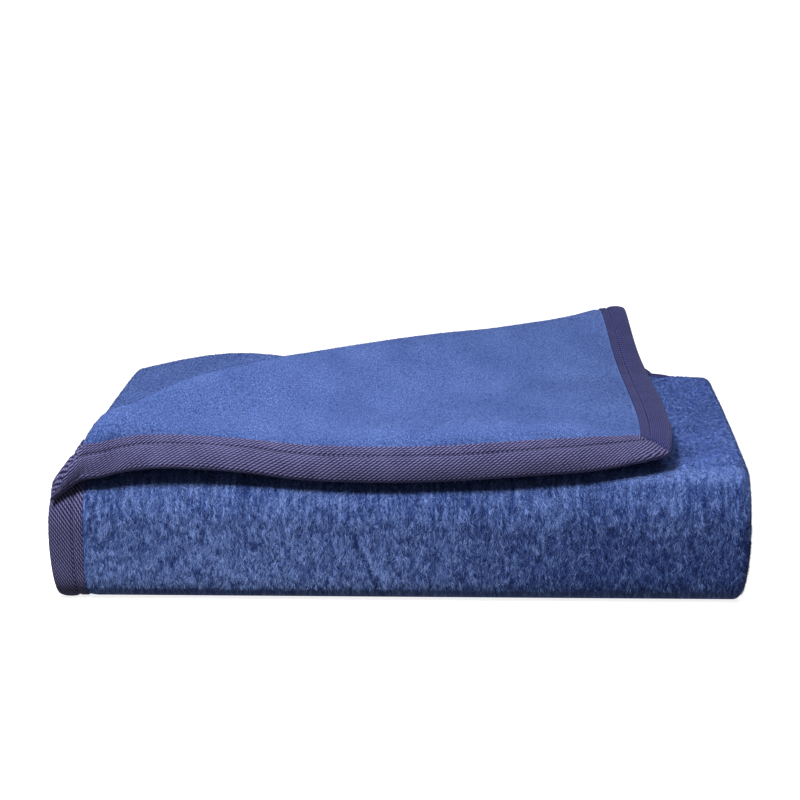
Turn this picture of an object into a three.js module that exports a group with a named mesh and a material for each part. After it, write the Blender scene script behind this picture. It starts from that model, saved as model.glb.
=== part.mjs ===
// A folded cotton blanket with a bound edge, in millimetres, +Z up.
//
// The blanket is one napped cloth. It is folded in four across, back and forth, into a strip,
// and the strip is folded in three: the low strip, the tucked one and the top one, which the
// smooth front face joins. The rear left part of the top ply is turned over a diagonal crease
// that starts at the front left corner, so its two bound edges lie along the front and the
// right, and its crease stands up in a soft loop. Four lengths of twill tape bind the cloth
// and meet in mitres at its corners. The cloth and the tapes are worked out from one sheet of
// triangles, the cloth's middle, which is given its thickness at the end.
import * as THREE from "three";

// The folded pack
const WIDTH = 500;
const DEPTH = 440;
const CLOTH = 5.6;
const PLY_PITCH = 8;
const PLIES = 4;
const STRIPS = 3;

// Bends of the strip, each at the radius of its middle
const CROWN_RADIUS = 23.7;
const TOE_RADIUS = 15.4;
const TOE_SQUARENESS = 4;
const END_DROOP = THREE.MathUtils.degToRad(58);
const TUCKED_END = 42;

// Binding tape: its width on the cloth, its two faces as distances from the cloth's middle,
// and how it stands round the cloth's edge
const TAPE_WIDTH = 22;
const TAPE_INSIDE = 1.8;
const TAPE_OUTSIDE = 2.7;
const PRESSED_CLOTH = 2.4;
const EDGE_GAP = 0.6;
const EDGE_REACH = 1.5;
const MITRE_GAP = 0.55;

// The turned-over part: where its crease starts on the crown, how far the crease holds back
// from the true diagonal, the depth of its loop and how far that leans back, the length over
// which it comes down, the reach of its front brow and of the edge that hangs from it, and
// how much its height and its front right corner draw the part in sideways
const CREASE_ANGLE = THREE.MathUtils.degToRad(144.2);
const CREASE_HOLD = 45;
const CREASE_HOLD_REACH = 80;
const LOOP_DEPTH = 0.95;
const LOOP_LEAN = 10;
const RAMP = 150;
const RAMP_SHARE = 0.95;
const BROW_REACH = 60;
const EDGE_DROP = 18;
const DRAW_IN = 26;
const DRAW_REACH = 12;
const DRAW_FLOOR = 9;
const CORNER_DRAW = 12;
const CORNER_SHARPNESS = 8;
const CORNER_REACH = 45;

// Its sections from left to right, each a cut across the pack at x. edge is where its front
// edge lies, measured from the crease's start along the ply below. lip, brow, waist and crest
// are its heights over that ply: at the front edge, where it bends down to that edge, where it
// lies lowest, and at the top of the loop.
const SECTIONS = [
  { x: 5, edge: -5, lip: 8, brow: 9, waist: 9, crest: 9 },
  { x: 26, edge: 5, lip: 13, brow: 15, waist: 17, crest: 25 },
  { x: 40, edge: 6, lip: 15, brow: 25, waist: 25, crest: 36 },
  { x: 58, edge: 8, lip: 18, brow: 27, waist: 27, crest: 39 },
  { x: 82, edge: 9, lip: 20, brow: 26, waist: 27, crest: 46 },
  { x: 112, edge: 9, lip: 19, brow: 25, waist: 26, crest: 50 },
  { x: 146, edge: 8, lip: 17, brow: 24, waist: 24, crest: 51 },
  { x: 182, edge: 6, lip: 14, brow: 24, waist: 24, crest: 51 },
  { x: 218, edge: 5, lip: 14, brow: 25, waist: 25, crest: 52 },
  { x: 254, edge: 5, lip: 14, brow: 26, waist: 26, crest: 53 },
  { x: 288, edge: 6, lip: 14, brow: 28, waist: 28, crest: 53 },
  { x: 322, edge: 7, lip: 16, brow: 30, waist: 30, crest: 52 },
  { x: 354, edge: 9, lip: 16, brow: 31, waist: 31, crest: 52 },
  { x: 384, edge: 11, lip: 16, brow: 29, waist: 29, crest: 52 },
  { x: 408, edge: 14, lip: 16, brow: 25, waist: 26, crest: 53 },
  { x: 428, edge: 17, lip: 17, brow: 23, waist: 24, crest: 55 },
  { x: 450, edge: 21, lip: 18, brow: 20, waist: 21, crest: 58 },
];

// Places where the pack stands higher or lower than its even height, as a share of it
const SETTLING = [
  { x: 100, y: 410, reachX: 100, reachY: 230, lift: 0.3 },
  { x: 260, y: 210, reachX: 160, reachY: 160, lift: 0.03 },
  { x: 500, y: 420, reachX: 50, reachY: 150, lift: -0.06 },
];

// How far the sides draw in at the bottom, and the left one at the top, and over what width.
// The rear inset is the more that the left side draws in at the top towards the rear.
const SIDE_INSET = 8;
const SIDE_MIDDLE = 48;
const SIDE_REACH = 16;
const REAR_INSET = 10;
const REAR_REACH = 40;

// Columns of the sheet across a hidden ply, the rows over which its end swings back to the
// strip's full length, and its steps along each bend and run
const PLY_COLUMNS = [50, 150, 330];
const SWING_ROWS = 6;
const STEPS = { sideTurn: 3, loop: 6, ramp: 6, crown: 2, face: 2, toe: 4, low: 2, heel: 6, tucked: 3 };

const BLUE = new THREE.MeshStandardMaterial({ color: 0x2f4a8c, roughness: 0.95, metalness: 0 });
const PURPLE = new THREE.MeshStandardMaterial({ color: 0x393460, roughness: 0.85, metalness: 0 });

// Worked out from the sizes above
const RIGHT_ANGLE = Math.PI / 2;
const HALF_CLOTH = CLOTH / 2;
const OUTER = (PLY_PITCH * (PLIES - 1)) / 2;
const STRIP = PLY_PITCH * PLIES;
const LOW_MIDDLE = HALF_CLOTH + OUTER;
const TUCKED_MIDDLE = LOW_MIDDLE + STRIP;
const TOP_MIDDLE = LOW_MIDDLE + STRIP * (STRIPS - 1);
const SIDE_RADIUS = PLY_PITCH / 2;
const RIGHT_TURN = WIDTH - HALF_CLOTH - SIDE_RADIUS;
const LEFT_TURN = HALF_CLOTH + SIDE_RADIUS;
const FIRST_SECTION = SECTIONS[0];
const LAST_SECTION = SECTIONS[SECTIONS.length - 1];
const CREASE_COLUMN = SECTIONS.length - 1;

const HEEL_RADIUS = STRIP / 2;
const HEEL_HEIGHT = LOW_MIDDLE + HEEL_RADIUS;
const END_RADIUS = TOP_MIDDLE - HEEL_HEIGHT;
const HEEL = {
  y: DEPTH - (END_RADIUS + OUTER + HALF_CLOTH) * Math.sin(END_DROOP),
  z: HEEL_HEIGHT,
};
const CROWN = { y: LOW_MIDDLE + CROWN_RADIUS, z: TOP_MIDDLE - CROWN_RADIUS };
const TOE = { y: LOW_MIDDLE + TOE_RADIUS, z: LOW_MIDDLE + TOE_RADIUS };

function ease(t) {
  const held = THREE.MathUtils.clamp(t, 0, 1);
  return held * held * (3 - 2 * held);
}

// A bend of the strip about a centre. place gives the point at a share t of the bend and at an
// offset outward from the strip's middle, and squareness over 2 fills out the bend's corner.
function bend(centre, radius, from, to, squareness = 2) {
  return {
    length: (radius + OUTER) * (to - from),
    place(t, offset) {
      const angle = from + (to - from) * t;
      const across = Math.abs(Math.cos(angle)) ** squareness;
      const up = Math.abs(Math.sin(angle)) ** squareness;
      const reach = (radius + offset) * (across + up) ** (-1 / squareness);
      return { y: centre.y + reach * Math.cos(angle), z: centre.z + reach * Math.sin(angle) };
    },
  };
}

// A straight run of the strip, with the direction that is outward on it
function run(start, end, outward) {
  return {
    length: Math.hypot(end.y - start.y, end.z - start.z),
    place(t, offset) {
      return {
        y: THREE.MathUtils.lerp(start.y, end.y, t) + offset * outward.y,
        z: THREE.MathUtils.lerp(start.z, end.z, t) + offset * outward.z,
      };
    },
  };
}

// The strip's section, from its rear top end round the front to its tucked end
const UP = { y: 0, z: 1 };
const FORWARD = { y: -1, z: 0 };
const DOWN = { y: 0, z: -1 };
const STRETCHES = {
  droop: bend(HEEL, END_RADIUS, RIGHT_ANGLE - END_DROOP, RIGHT_ANGLE),
  top: run({ y: HEEL.y, z: TOP_MIDDLE }, { y: CROWN.y, z: TOP_MIDDLE }, UP),
  crown: bend(CROWN, CROWN_RADIUS, RIGHT_ANGLE, 2 * RIGHT_ANGLE),
  face: run({ y: LOW_MIDDLE, z: CROWN.z }, { y: LOW_MIDDLE, z: TOE.z }, FORWARD),
  toe: bend(TOE, TOE_RADIUS, 2 * RIGHT_ANGLE, 3 * RIGHT_ANGLE, TOE_SQUARENESS),
  low: run({ y: TOE.y, z: LOW_MIDDLE }, { y: HEEL.y, z: LOW_MIDDLE }, DOWN),
  heel: bend(HEEL, HEEL_RADIUS, 3 * RIGHT_ANGLE, 5 * RIGHT_ANGLE),
  tucked: run({ y: HEEL.y, z: TUCKED_MIDDLE }, { y: TUCKED_END, z: TUCKED_MIDDLE }, UP),
};

// The distance along the outer ply at which a stretch ends
function endOf(name) {
  let distance = 0;
  for (const [key, stretch] of Object.entries(STRETCHES)) {
    distance += stretch.length;
    if (key === name) break;
  }
  return distance;
}

const CROWN_END = endOf("crown");
const CREASE_START = endOf("top") + STRETCHES.crown.length * (CREASE_ANGLE / RIGHT_ANGLE - 1);

function onStrip(distance, offset) {
  let left = Math.max(0, distance);
  for (const stretch of Object.values(STRETCHES)) {
    if (left <= stretch.length) return stretch.place(left / stretch.length, offset);
    left -= stretch.length;
  }
  return STRETCHES.tucked.place(1, offset);
}

// How far from the crease's start the turned-over part leaves the ply below, measured
// along that ply towards the rear
function creaseAt({ x }) {
  const across = x - FIRST_SECTION.x;
  return across - CREASE_HOLD * (1 - Math.exp(-across / CREASE_HOLD_REACH));
}

// The soft unevenness of the pack, and its sides' round outline
function settle({ x, y, z }) {
  let lift = 0;
  for (const spot of SETTLING) {
    const off = ((x - spot.x) / spot.reachX) ** 2 + ((y - spot.y) / spot.reachY) ** 2;
    lift += spot.lift * Math.exp(-off);
  }
  const low = Math.max(0, 1 - z / SIDE_MIDDLE) ** 2;
  const high = THREE.MathUtils.clamp(z / SIDE_MIDDLE - 1, 0, 1) ** 2;
  const left = SIDE_INSET * (low + high) * Math.exp(-x / SIDE_REACH);
  const rear = REAR_INSET * high * (y / DEPTH) * Math.exp(-x / REAR_REACH);
  const right = SIDE_INSET * low * Math.exp((x - WIDTH) / SIDE_REACH);
  const draw = left + rear - right;
  const height = HALF_CLOTH + (z - HALF_CLOTH) * (1 + lift);
  return new THREE.Vector3(x + draw, y, height);
}

// Columns of the sheet across the strip: the outer ply, then each side turn and the next ply
function sheetColumns() {
  const columns = SECTIONS.map(({ x }) => ({ x, offset: OUTER }));
  columns.push({ x: (LAST_SECTION.x + RIGHT_TURN) / 2, offset: OUTER });
  for (let ply = 0; ply < PLIES - 1; ply += 1) {
    const atRight = ply % 2 === 0;
    const middle = OUTER - PLY_PITCH * (ply + 0.5);
    for (let step = 0; step <= STEPS.sideTurn; step += 1) {
      const angle = (Math.PI * step) / STEPS.sideTurn;
      const bulge = SIDE_RADIUS * Math.sin(angle);
      columns.push({
        x: atRight ? RIGHT_TURN + bulge : LEFT_TURN - bulge,
        offset: middle + SIDE_RADIUS * Math.cos(angle),
      });
    }
    const inner = atRight ? [...PLY_COLUMNS].reverse() : PLY_COLUMNS;
    columns.push(...inner.map((x) => ({ x, offset: middle - SIDE_RADIUS })));
  }
  columns.push({ x: LEFT_TURN + TAPE_WIDTH, offset: -OUTER }, { x: LEFT_TURN, offset: -OUTER });
  return columns;
}

function evenSteps(from, to, count) {
  return Array.from({ length: count }, (_, step) => from + ((to - from) * (step + 1)) / count);
}

// Rows of the sheet along the strip, as distances along the outer ply. The first ones lie
// where the crease crosses the sections, so each section meets the crease in a row.
function sheetRows() {
  const rows = SECTIONS.map((section) => CREASE_START - creaseAt(section)).reverse();
  rows.push(...evenSteps(CREASE_START, CROWN_END, STEPS.crown));
  for (const name of ["face", "toe", "low", "heel"]) {
    const end = endOf(name);
    rows.push(...evenSteps(end - STRETCHES[name].length, end, STEPS[name]));
  }
  const end = endOf("tucked");
  rows.push(...evenSteps(endOf("heel"), end - TAPE_WIDTH, STEPS.tucked), end);
  return rows;
}

// A point of the turned-over part, at a distance behind the crease's start along the ply
// below and at a height over that ply
function overPly(x, distance, height) {
  const foot = onStrip(CREASE_START - distance, OUTER);
  const back = Math.min(0, foot.y - CROWN.y);
  const rise = foot.z - CROWN.z;
  const reach = Math.hypot(back, rise);
  const along = (x / LAST_SECTION.x) ** 2 * (distance / creaseAt(LAST_SECTION));
  const risen = Math.max(0, height - DRAW_FLOOR);
  const drawn = DRAW_IN * (1 - Math.exp(-risen / DRAW_REACH)) * along;
  const corner = CORNER_DRAW * (x / LAST_SECTION.x) ** CORNER_SHARPNESS;
  const tucked = corner * Math.exp(-Math.max(0, distance) / CORNER_REACH);
  return {
    x: x - drawn - tucked,
    y: foot.y + (height * back) / reach,
    z: foot.z + (height * rise) / reach,
  };
}

// One section of the turned-over part as points from the crease, round the loop, down the
// ramp and along to the front edge, with the last step as wide as the tape
function turnedSection(section) {
  const { x, edge, lip, brow, waist, crest } = section;
  const root = creaseAt(section);
  const start = root + (LOOP_LEAN * crest) / LAST_SECTION.crest;
  const ramp = Math.min(RAMP, RAMP_SHARE * (start - edge));
  const fine = 40;
  const points = [];
  for (let step = 0; step <= fine; step += 1) {
    const angle = Math.PI * (step / fine - 0.5);
    const share = (1 + Math.sin(angle)) / 2;
    const behind = THREE.MathUtils.lerp(root, start, share);
    points.push(overPly(x, behind + LOOP_DEPTH * (crest / 2) * Math.cos(angle), crest * share));
  }
  const loopPoint = points.length - 1;
  for (let step = 1; step <= fine; step += 1) {
    const behind = THREE.MathUtils.lerp(start, edge, step / fine);
    const high = ease(1 - (start - behind) / ramp);
    const raised = ease(1 - (behind - edge - EDGE_DROP) / BROW_REACH) * (1 - high);
    const hanging = Math.max(0, 1 - (behind - edge) / EDGE_DROP) ** 2;
    const height = waist + (crest - waist) * high + (brow - waist) * raised - (brow - lip) * hanging;
    points.push(overPly(x, behind, height));
  }
  const lengths = [0];
  for (let index = 1; index < points.length; index += 1) {
    const last = points[index - 1];
    const here = points[index];
    const gap = Math.hypot(here.x - last.x, here.y - last.y, here.z - last.z);
    lengths.push(lengths[index - 1] + gap);
  }
  const whole = lengths[lengths.length - 1];
  const loop = lengths[loopPoint];
  const tape = Math.max(whole - TAPE_WIDTH, loop + 0.4 * (whole - loop));
  const stations = [0, ...evenSteps(0, loop, STEPS.loop), ...evenSteps(loop, tape, STEPS.ramp), whole];
  return stations.map((station) => {
    const next = Math.min(Math.max(lengths.findIndex((length) => length >= station), 1), fine * 2);
    const share = (station - lengths[next - 1]) / (lengths[next] - lengths[next - 1]);
    const mix = (key) => THREE.MathUtils.lerp(points[next - 1][key], points[next][key], share);
    return { x: mix("x"), y: mix("y"), z: mix("z") };
  });
}

// The cloth's middle as a sheet of triangles. Each triangle is tagged with the tape over it,
// and each point is marked where the cloth is pressed by a tape.
function makeSheet() {
  const columns = sheetColumns();
  const rows = sheetRows();
  const lastColumn = columns.length - 1;
  const lastRow = rows.length - 1;
  const points = [];
  const triangles = [];
  const add = (point) => points.push(settle(point)) - 1;
  const face = (tape, a, b, c) => triangles.push({ tape, corners: [a, b, c] });

  // The end swings back from the crease to the strip's full length over the right hand part
  const swing = (column) => {
    if (column <= CREASE_COLUMN) return 0;
    if (columns[column].offset < OUTER) return 1;
    return ease((columns[column].x - LAST_SECTION.x) / (RIGHT_TURN - LAST_SECTION.x));
  };
  const grid = columns.map(({ x, offset }, column) => rows.map((distance, row) => {
    if (row < CREASE_COLUMN - column) return null;
    const pull = THREE.MathUtils.clamp(1 - (row - 1) / SWING_ROWS, 0, 1);
    return add({ x, ...onStrip(distance - rows[0] * swing(column) * pull, offset) });
  }));
  for (let column = 0; column < lastColumn; column += 1) {
    for (let row = 0; row < lastRow; row += 1) {
      const rearLeft = grid[column][row];
      const rearRight = grid[column + 1][row];
      const frontRight = grid[column + 1][row + 1];
      const frontLeft = grid[column][row + 1];
      let tape = null;
      if (column === 0) tape = "side_outer";
      if (column === lastColumn - 1) tape = "side_inner";
      if (row === 0) tape = "end_top";
      if (row === lastRow - 1) tape = "end_inner";
      if (frontLeft === null || rearRight === null) continue;
      if (column === lastColumn - 1 && row === lastRow - 1) {
        face("end_inner", rearLeft, frontLeft, frontRight);
        face("side_inner", rearLeft, frontRight, rearRight);
      } else {
        const first = column === 0 && row === lastRow - 1 ? "side_outer" : tape;
        const second = column === lastColumn - 1 && row === 0 ? "side_inner" : tape;
        if (rearLeft !== null) face(first, rearLeft, frontLeft, rearRight);
        face(second, frontLeft, frontRight, rearRight);
      }
    }
  }

  // The turned-over part shares its first points with the crease
  const turned = SECTIONS.map((section, index) => turnedSection(section).map((point, step) => (
    step === 0 ? grid[index][CREASE_COLUMN - index] : add(point)
  )));
  const frontStep = turned[0].length - 1;
  for (let index = 0; index < CREASE_COLUMN; index += 1) {
    for (let step = 0; step < frontStep; step += 1) {
      const left = turned[index][step];
      const right = turned[index + 1][step];
      const rightOn = turned[index + 1][step + 1];
      const leftOn = turned[index][step + 1];
      const atEnd = index === CREASE_COLUMN - 1;
      const atSide = index === 0 || step === frontStep - 1;
      const side = atSide ? "side_outer" : null;
      const corner = atEnd ? "end_top" : side;
      face(corner, left, right, rightOn);
      face(atEnd && step < frontStep - 1 ? "end_top" : side, left, rightOn, leftOn);
    }
  }
  return { points, triangles };
}

// The outward direction of each point of the sheet
function sheetNormals({ points, triangles }) {
  const normals = points.map(() => new THREE.Vector3());
  for (const { corners } of triangles) {
    const [a, b, c] = corners.map((index) => points[index]);
    const area = new THREE.Vector3().subVectors(b, a).cross(new THREE.Vector3().subVectors(c, a));
    for (const index of corners) normals[index].add(area);
  }
  return normals.map((normal) => normal.normalize());
}

// The directed edges of some triangles that no other triangle among them shares
function rimEdges(triangles) {
  const edges = new Map();
  for (const triangle of triangles) {
    const [a, b, c] = triangle.corners;
    for (const [from, to] of [[a, b], [b, c], [c, a]]) {
      if (!edges.delete(`${to},${from}`)) edges.set(`${from},${to}`, { from, to, triangle });
    }
  }
  return [...edges.values()];
}

function solidMesh(name, material, positions, faces) {
  const geometry = new THREE.BufferGeometry();
  geometry.setAttribute("position", new THREE.Float32BufferAttribute(positions.flat(), 3));
  geometry.setIndex(faces.flat());
  geometry.computeVertexNormals();
  const mesh = new THREE.Mesh(geometry, material);
  mesh.name = name;
  return mesh;
}

// The cloth: the sheet thickened both ways, thinner where a tape presses it
function clothMesh(sheet, normals) {
  const taped = new Set(sheet.triangles.filter(({ tape }) => tape).flatMap(({ corners }) => corners));
  const pressed = new Set(sheet.triangles.filter(({ corners }) => corners.some((index) => taped.has(index)))
    .flatMap(({ corners }) => corners));
  const count = sheet.points.length;
  const face = (side) => sheet.points.map((point, index) => {
    const half = pressed.has(index) ? PRESSED_CLOTH / 2 : HALF_CLOTH;
    return point.clone().addScaledVector(normals[index], side * half).toArray();
  });
  const faces = [];
  for (const { corners: [a, b, c] } of sheet.triangles) {
    faces.push([a, b, c], [a + count, c + count, b + count]);
  }
  for (const { from, to } of rimEdges(sheet.triangles)) {
    faces.push([to, from, from + count], [to, from + count, to + count]);
  }
  return solidMesh("blanket_cloth", BLUE, [...face(1), ...face(-1)], faces);
}

// A tape: a channel folded over the cloth's edge, on the sheet's triangles with its name.
// Each point has an outer and an inner place above and below the cloth, and a point of the
// cloth's edge has two more where the tape turns round it.
function tapeMesh(name, sheet, normals, clothRim) {
  const triangles = sheet.triangles.filter(({ tape }) => tape === name);
  const rim = rimEdges(triangles);
  const isClothEdge = ({ from, to }) => clothRim.has(`${from},${to}`);
  const edgeward = new Map();
  const along = new Map();
  for (const edge of rim.filter(isClothEdge)) {
    const tangent = sheet.points[edge.to].clone().sub(sheet.points[edge.from]).normalize();
    for (const index of [edge.from, edge.to]) {
      const out = tangent.clone().cross(normals[index]).normalize();
      edgeward.set(index, (edgeward.get(index) ?? new THREE.Vector3()).add(out));
      const away = index === edge.to ? tangent.clone() : tangent.clone().negate();
      along.set(index, (along.get(index) ?? new THREE.Vector3()).add(away));
    }
  }
  for (const out of edgeward.values()) out.normalize();

  // A mitre lies where the tape's cut meets another tape. Its points step back from it, and
  // the tape's turn runs on round the corner to it.
  const taped = new Set(sheet.triangles.filter(({ tape }) => tape && tape !== name)
    .flatMap(({ corners: [a, b, c] }) => [`${a},${b}`, `${b},${c}`, `${c},${a}`]));
  const stepBack = new Map();
  for (const edge of rim.filter(({ from, to }) => taped.has(`${to},${from}`))) {
    const line = sheet.points[edge.to].clone().sub(sheet.points[edge.from]).normalize();
    const third = edge.triangle.corners.find((index) => index !== edge.from && index !== edge.to);
    const inward = sheet.points[third].clone().sub(sheet.points[edge.from]);
    inward.addScaledVector(line, -inward.dot(line)).setLength(MITRE_GAP);
    for (const index of [edge.from, edge.to]) {
      stepBack.set(index, inward);
      if (edgeward.has(index)) edgeward.get(index).add(along.get(index));
    }
  }

  const used = [...new Set(triangles.flatMap(({ corners }) => corners))];
  const order = new Map(used.map((index, position) => [index, position]));
  const layers = ["outerTop", "innerTop", "innerLow", "outerLow", "noseTop", "noseLow"];
  const heights = [TAPE_OUTSIDE, TAPE_INSIDE, -TAPE_INSIDE, -TAPE_OUTSIDE, EDGE_REACH, -EDGE_REACH];
  const positions = layers.flatMap((layer, level) => used.map((index) => {
    const place = sheet.points[index].clone().addScaledVector(normals[index], heights[level]);
    if (stepBack.has(index)) place.add(stepBack.get(index));
    const reach = layer.startsWith("nose") ? EDGE_REACH : EDGE_GAP;
    if (edgeward.has(index)) place.addScaledVector(edgeward.get(index), reach);
    return place.toArray();
  }));
  const at = (layer, index) => layers.indexOf(layer) * used.length + order.get(index);
  const faces = [];
  const strip = (from, to, ...path) => {
    for (let step = 1; step < path.length; step += 1) {
      const [above, below] = [path[step - 1], path[step]];
      faces.push([at(above, to), at(above, from), at(below, from)]);
      faces.push([at(above, to), at(below, from), at(below, to)]);
    }
  };
  for (const { corners: [a, b, c] } of triangles) {
    faces.push([a, b, c].map((index) => at("outerTop", index)));
    faces.push([a, c, b].map((index) => at("innerTop", index)));
    faces.push([a, b, c].map((index) => at("innerLow", index)));
    faces.push([a, c, b].map((index) => at("outerLow", index)));
  }
  const starts = new Set(rim.filter(isClothEdge).map(({ from }) => from));
  const ends = new Set(rim.filter(isClothEdge).map(({ to }) => to));
  for (const edge of rim) {
    if (isClothEdge(edge)) {
      strip(edge.from, edge.to, "outerTop", "noseTop", "noseLow", "outerLow");
      strip(edge.to, edge.from, "innerTop", "innerLow");
    } else {
      strip(edge.from, edge.to, "outerTop", "innerTop");
      strip(edge.from, edge.to, "innerLow", "outerLow");
    }
  }
  const cap = [
    ["outerTop", "noseTop", "innerTop"],
    ["innerTop", "noseTop", "noseLow"],
    ["innerTop", "noseLow", "innerLow"],
    ["innerLow", "noseLow", "outerLow"],
  ];
  for (const index of ends) {
    if (!starts.has(index)) faces.push(...cap.map((layer) => layer.map((key) => at(key, index))));
  }
  for (const index of starts) {
    if (ends.has(index)) continue;
    faces.push(...cap.map((layer) => [...layer].reverse().map((key) => at(key, index))));
  }
  return packUsed(`binding_${name}`, positions, faces);
}

// Leaves out the points that no face uses
function packUsed(name, positions, faces) {
  const used = [...new Set(faces.flat())];
  const order = new Map(used.map((index, position) => [index, position]));
  const kept = used.map((index) => positions[index]);
  return solidMesh(name, PURPLE, kept, faces.map((face) => face.map((index) => order.get(index))));
}

function makeBlanket() {
  const sheet = makeSheet();
  const normals = sheetNormals(sheet);
  const clothRim = new Set(rimEdges(sheet.triangles).map(({ from, to }) => `${from},${to}`));
  const blanket = new THREE.Group();
  blanket.add(clothMesh(sheet, normals));
  for (const name of ["side_outer", "end_top", "side_inner", "end_inner"]) {
    blanket.add(tapeMesh(name, sheet, normals, clothRim));
  }
  const box = new THREE.Box3().setFromObject(blanket);
  const middle = box.getCenter(new THREE.Vector3());
  blanket.position.set(-middle.x, -middle.y, -box.min.z);
  return blanket;
}

export default makeBlanket();
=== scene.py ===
import math
from itertools import accumulate
from typing import NamedTuple

import bpy
import numpy as np
from mathutils import Matrix, Vector
from mathutils.bvhtree import BVHTree


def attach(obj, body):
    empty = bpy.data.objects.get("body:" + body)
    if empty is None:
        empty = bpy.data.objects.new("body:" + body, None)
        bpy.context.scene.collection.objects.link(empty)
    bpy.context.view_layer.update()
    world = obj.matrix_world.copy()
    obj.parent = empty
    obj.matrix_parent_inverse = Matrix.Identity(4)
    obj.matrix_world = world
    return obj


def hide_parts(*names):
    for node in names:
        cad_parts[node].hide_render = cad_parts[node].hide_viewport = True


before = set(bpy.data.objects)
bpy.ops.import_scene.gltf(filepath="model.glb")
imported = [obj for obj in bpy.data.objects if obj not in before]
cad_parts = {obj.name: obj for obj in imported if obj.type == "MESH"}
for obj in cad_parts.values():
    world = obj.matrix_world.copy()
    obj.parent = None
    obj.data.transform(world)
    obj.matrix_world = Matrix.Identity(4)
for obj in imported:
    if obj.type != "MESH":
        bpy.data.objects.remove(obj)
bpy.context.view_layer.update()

# The camera, as the photograph's outline gives it
CAMERA_PLACE = (82.9, -1928.7, 489.3)
CAMERA_YAW = math.radians(2.66)
CAMERA_PITCH = math.radians(11.3)
CAMERA_ROLL = math.radians(-0.31)
LENS = 112.5
SENSOR = 36.0

# The stage, in metres and degrees: a floor that fills the picture, a square light in front
# on the left, a weak one from behind, and the light of the room
FLOOR_SIZE = 60
KEY_PLACE = (-0.4, -1.14, 1.69)
KEY_SIZE = 0.5
KEY_POWER = 46.0
RIM_WAY = (-0.2, -0.6, -0.8)
RIM_POWER = 1.0
RIM_SOFTNESS = 30
ROOM_POWER = 0.14

# A metre of the frame in millimetres, and where the frame's origin lies in the sizes below
METRE = 1000
ORIGIN = np.array((249.99, 218.49, 0.0))

# The folded pack, as its solids have it
WIDTH = 500.0
DEPTH = 440.0
CLOTH = 5.6
PLY_PITCH = 8.0
PLIES = 4
STRIPS = 3
CROWN_RADIUS = 23.7
TOE_RADIUS = 15.4
TOE_SQUARENESS = 4
END_DROOP = math.radians(58)
TUCKED_END = 42.0

# The turned-over part, as its solid has it
CREASE_ANGLE = math.radians(144.2)
CREASE_HOLD = 45.0
CREASE_HOLD_REACH = 80.0
LOOP_DEPTH = 0.95
LOOP_LEAN = 10.0
RAMP = 150.0
RAMP_SHARE = 0.95
BROW_REACH = 60.0
EDGE_DROP = 18.0
DRAW_IN = 26.0
DRAW_REACH = 12.0
DRAW_FLOOR = 9.0
CORNER_DRAW = 12.0
CORNER_SHARPNESS = 8
CORNER_REACH = 45.0
SWING_X = (428.0, 288.0)
SECTION_COLUMNS = ("x", "edge", "lip", "brow", "waist", "crest")
SECTIONS = np.array((
    (5, -5, 8, 9, 9, 9),
    (26, 5, 13, 15, 17, 25),
    (40, 6, 15, 25, 25, 36),
    (58, 8, 18, 27, 27, 39),
    (82, 9, 20, 26, 27, 46),
    (112, 9, 19, 25, 26, 50),
    (146, 8, 17, 24, 24, 51),
    (182, 6, 14, 24, 24, 51),
    (218, 5, 14, 25, 25, 52),
    (254, 5, 14, 26, 26, 53),
    (288, 6, 14, 28, 28, 53),
    (322, 7, 16, 30, 30, 52),
    (354, 9, 16, 31, 31, 52),
    (384, 11, 16, 29, 29, 52),
    (408, 14, 16, 25, 26, 53),
    (428, 17, 17, 23, 24, 55),
    (450, 21, 18, 20, 21, 58),
), float)

# Places where the pack stands higher or lower than its even height. A row has its middle's
# x and y, its reach along each, and its lift as a share of the height.
SETTLING = (
    (100, 410, 100, 230, 0.3),
    (260, 210, 160, 160, 0.03),
    (500, 420, 50, 150, -0.06),
)

# How far the pack's sides and its rear left draw in, and over what distance
SIDE_INSET = 8.0
SIDE_MIDDLE = 48.0
SIDE_REACH = 16.0
REAR_INSET = 10.0
REAR_REACH = 40.0

# Lines of painted shade and light on the nap: painted shade in the front's creases where the
# nap parts, with a painted lighter side beside it, painted shadow in the dents beside the
# turned part's right edge where it is pressed in, and a painted lighter band on the top at
# the right. A row has the ends of a line, its reach, and how much darker it is, or lighter
# where that is below 0.
PAINTED_SHADE_LINES = (
    ((218, 0, 53), (236, 0, 15), 1.9, 0.55),
    ((222, 0, 53), (240, 0, 15), 2.0, -0.3),
    ((203, 0, 44), (214, 0, 20), 1.7, 0.4),
    ((462, 88, 92), (458, 66, 92), 11, 0.5),
    ((464, 150, 93), (466, 165, 93), 9, 0.35),
    ((480, 140, 93), (470, 34, 90), 14, -0.3),
)

# The tape: its width on the cloth, the height of its face over the cloth's middle, how far
# it swells between its edge and its seam, and the cloth that it presses
TAPE_WIDTH = 22.0
TAPE_FACE = 2.7
TAPE_BORDER = 1.3
TAPE_SWELL = 0.9
SWELL_FULLNESS = 0.7
EDGE_GIRTH = 8.0
SEAM = 15.0
SEAM_DEPTH = 1.2
SEAM_REACH = 1.0
PRESSED_CLOTH = 2.4
PRESSED_MARGIN = 1.0
PRESSED_REACH = 6.0

# The ribs of its twill, the beads of their yarn, and where the ribs lie level with the face
RIB_PITCH = 3.5
RIB_SLOPE = 1.6
RIB_HEIGHT = 0.34
RIB_LEVEL = 0.6
BEAD_PITCH = 1.5

# How far the tapes' inner borders take to come into line at a mitre and at a turn, and how
# the tapes dip at their ends
MITRE_RUN = 30.0
TURN_RUN = 40.0
END_DIP = 0.4
END_DIP_REACH = 1.4

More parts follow.
